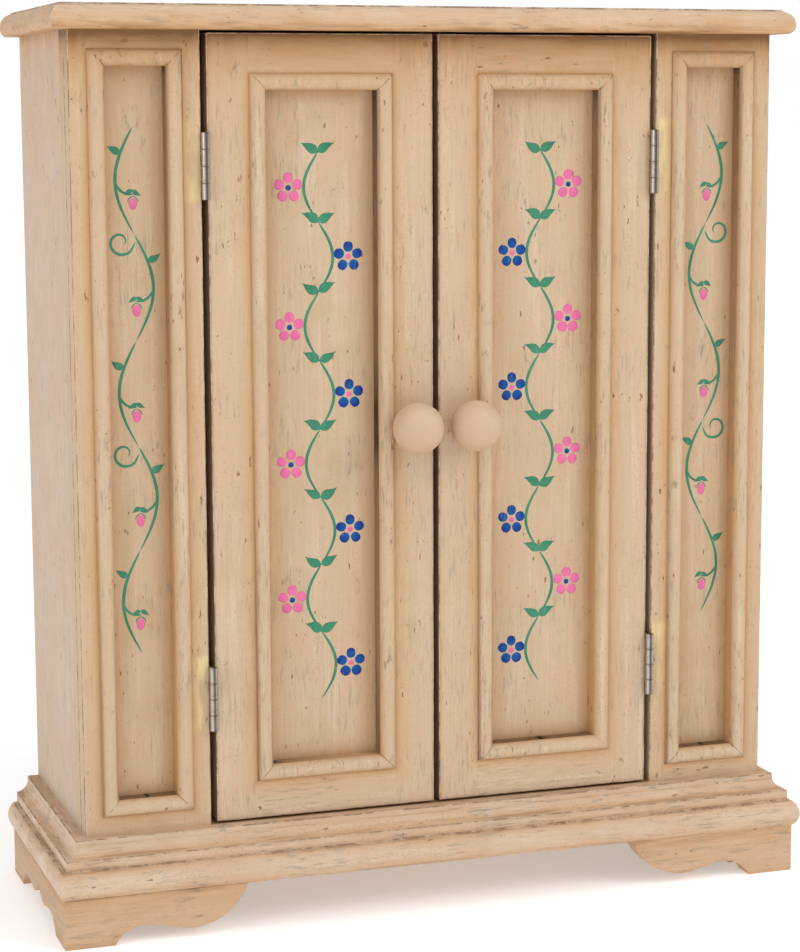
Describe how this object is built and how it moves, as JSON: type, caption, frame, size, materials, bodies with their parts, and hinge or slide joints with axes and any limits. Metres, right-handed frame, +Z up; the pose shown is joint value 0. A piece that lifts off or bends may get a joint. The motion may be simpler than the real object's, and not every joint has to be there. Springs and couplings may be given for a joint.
{
  "type": "jewelry box",
  "caption": "Shallow two-door jewelry cabinet on scrolled bracket feet, with panelled doors between fixed panelled pilasters, ball knobs and a shelf inside.",
  "frame": {"origin": "middle of the box's bounding rectangle, knobs included, on the surface that it stands on", "axes": "+X to the right when facing the doors, the doors face -Y, +Z up"},
  "size_m": [0.3146, 0.1212, 0.3576],
  "materials": {
    "painted_wood": "cream paint brushed along the grain, rubbed with a tan glaze, worn at the edges",
    "knob_paint": "plain cream satin paint",
    "plain_wood": "brown stain, open grain",
    "hinge_steel": "nickel-plated, slightly dulled",
    "zinc_steel": "zinc-plated",
    "brass": "turned, bright",
    "magnet": "dark plated magnet",
    "catch_plastic": "brown moulded plastic",
    "velvet": "deep red velvet over foam"
  },
  "bodies": {
    "cabinet": {"back_base_rail": "plain_wood", "back_panel": "plain_wood", "catch_housing": "catch_plastic", "catch_magnets": "magnet", "corner_blocks": "plain_wood", "floor_board": "plain_wood", "frame_hinge_leaves": "hinge_steel", "frame_hinge_screws": "hinge_steel", "front_base_moulding": "painted_wood", "hinge_pins": "hinge_steel", "left_base_moulding": "painted_wood", "left_front_foot": "painted_wood", "left_pilaster_bottom_rail": "painted_wood", "left_pilaster_inner_stile": "painted_wood", "left_pilaster_moulding": "painted_wood", "left_pilaster_outer_stile": "painted_wood", "left_pilaster_panel": "painted_wood", "left_pilaster_top_rail": "painted_wood", "left_side_feet": "painted_wood", "left_side_panel": "painted_wood", "necklace_peg_rail": "plain_wood", "necklace_pegs": "plain_wood", "right_base_moulding": "painted_wood", "right_front_foot": "painted_wood", "right_pilaster_bottom_rail": "painted_wood", "right_pilaster_inner_stile": "painted_wood", "right_pilaster_moulding": "painted_wood", "right_pilaster_outer_stile": "painted_wood", "right_pilaster_panel": "painted_wood", "right_pilaster_top_rail": "painted_wood", "right_side_feet": "painted_wood", "right_side_panel": "painted_wood", "ring_pad_board": "plain_wood", "ring_rolls": "velvet", "shelf": "plain_wood", "shelf_studs": "brass", "top_board": "painted_wood"},
    "left_door": {"left_door_bottom_rail": "painted_wood", "left_door_hinge_leaves": "hinge_steel", "left_door_hinge_screws": "hinge_steel", "left_door_hinge_stile": "painted_wood", "left_door_knob": "knob_paint", "left_door_knob_screw": "zinc_steel", "left_door_lock_stile": "painted_wood", "left_door_moulding": "painted_wood", "left_door_panel": "painted_wood", "left_door_strike_plate": "zinc_steel", "left_door_top_rail": "painted_wood"},
    "right_door": {"right_door_bottom_rail": "painted_wood", "right_door_hinge_leaves": "hinge_steel", "right_door_hinge_screws": "hinge_steel", "right_door_hinge_stile": "painted_wood", "right_door_knob": "knob_paint", "right_door_knob_screw": "zinc_steel", "right_door_lock_stile": "painted_wood", "right_door_moulding": "painted_wood", "right_door_panel": "painted_wood", "right_door_strike_plate": "zinc_steel", "right_door_top_rail": "painted_wood"}
  },
  "joints": [
    {"name": "left_door_hinge", "type": "hinge", "parent": "cabinet", "child": "left_door", "pos_m": [-0.0926, -0.03915, 0.041], "axis": [0, 0, -1], "range_deg": [0, 165]},
    {"name": "right_door_hinge", "type": "hinge", "parent": "cabinet", "child": "right_door", "pos_m": [0.0926, -0.03915, 0.041], "axis": [0, 0, 1], "range_deg": [0, 165]}
  ]
}
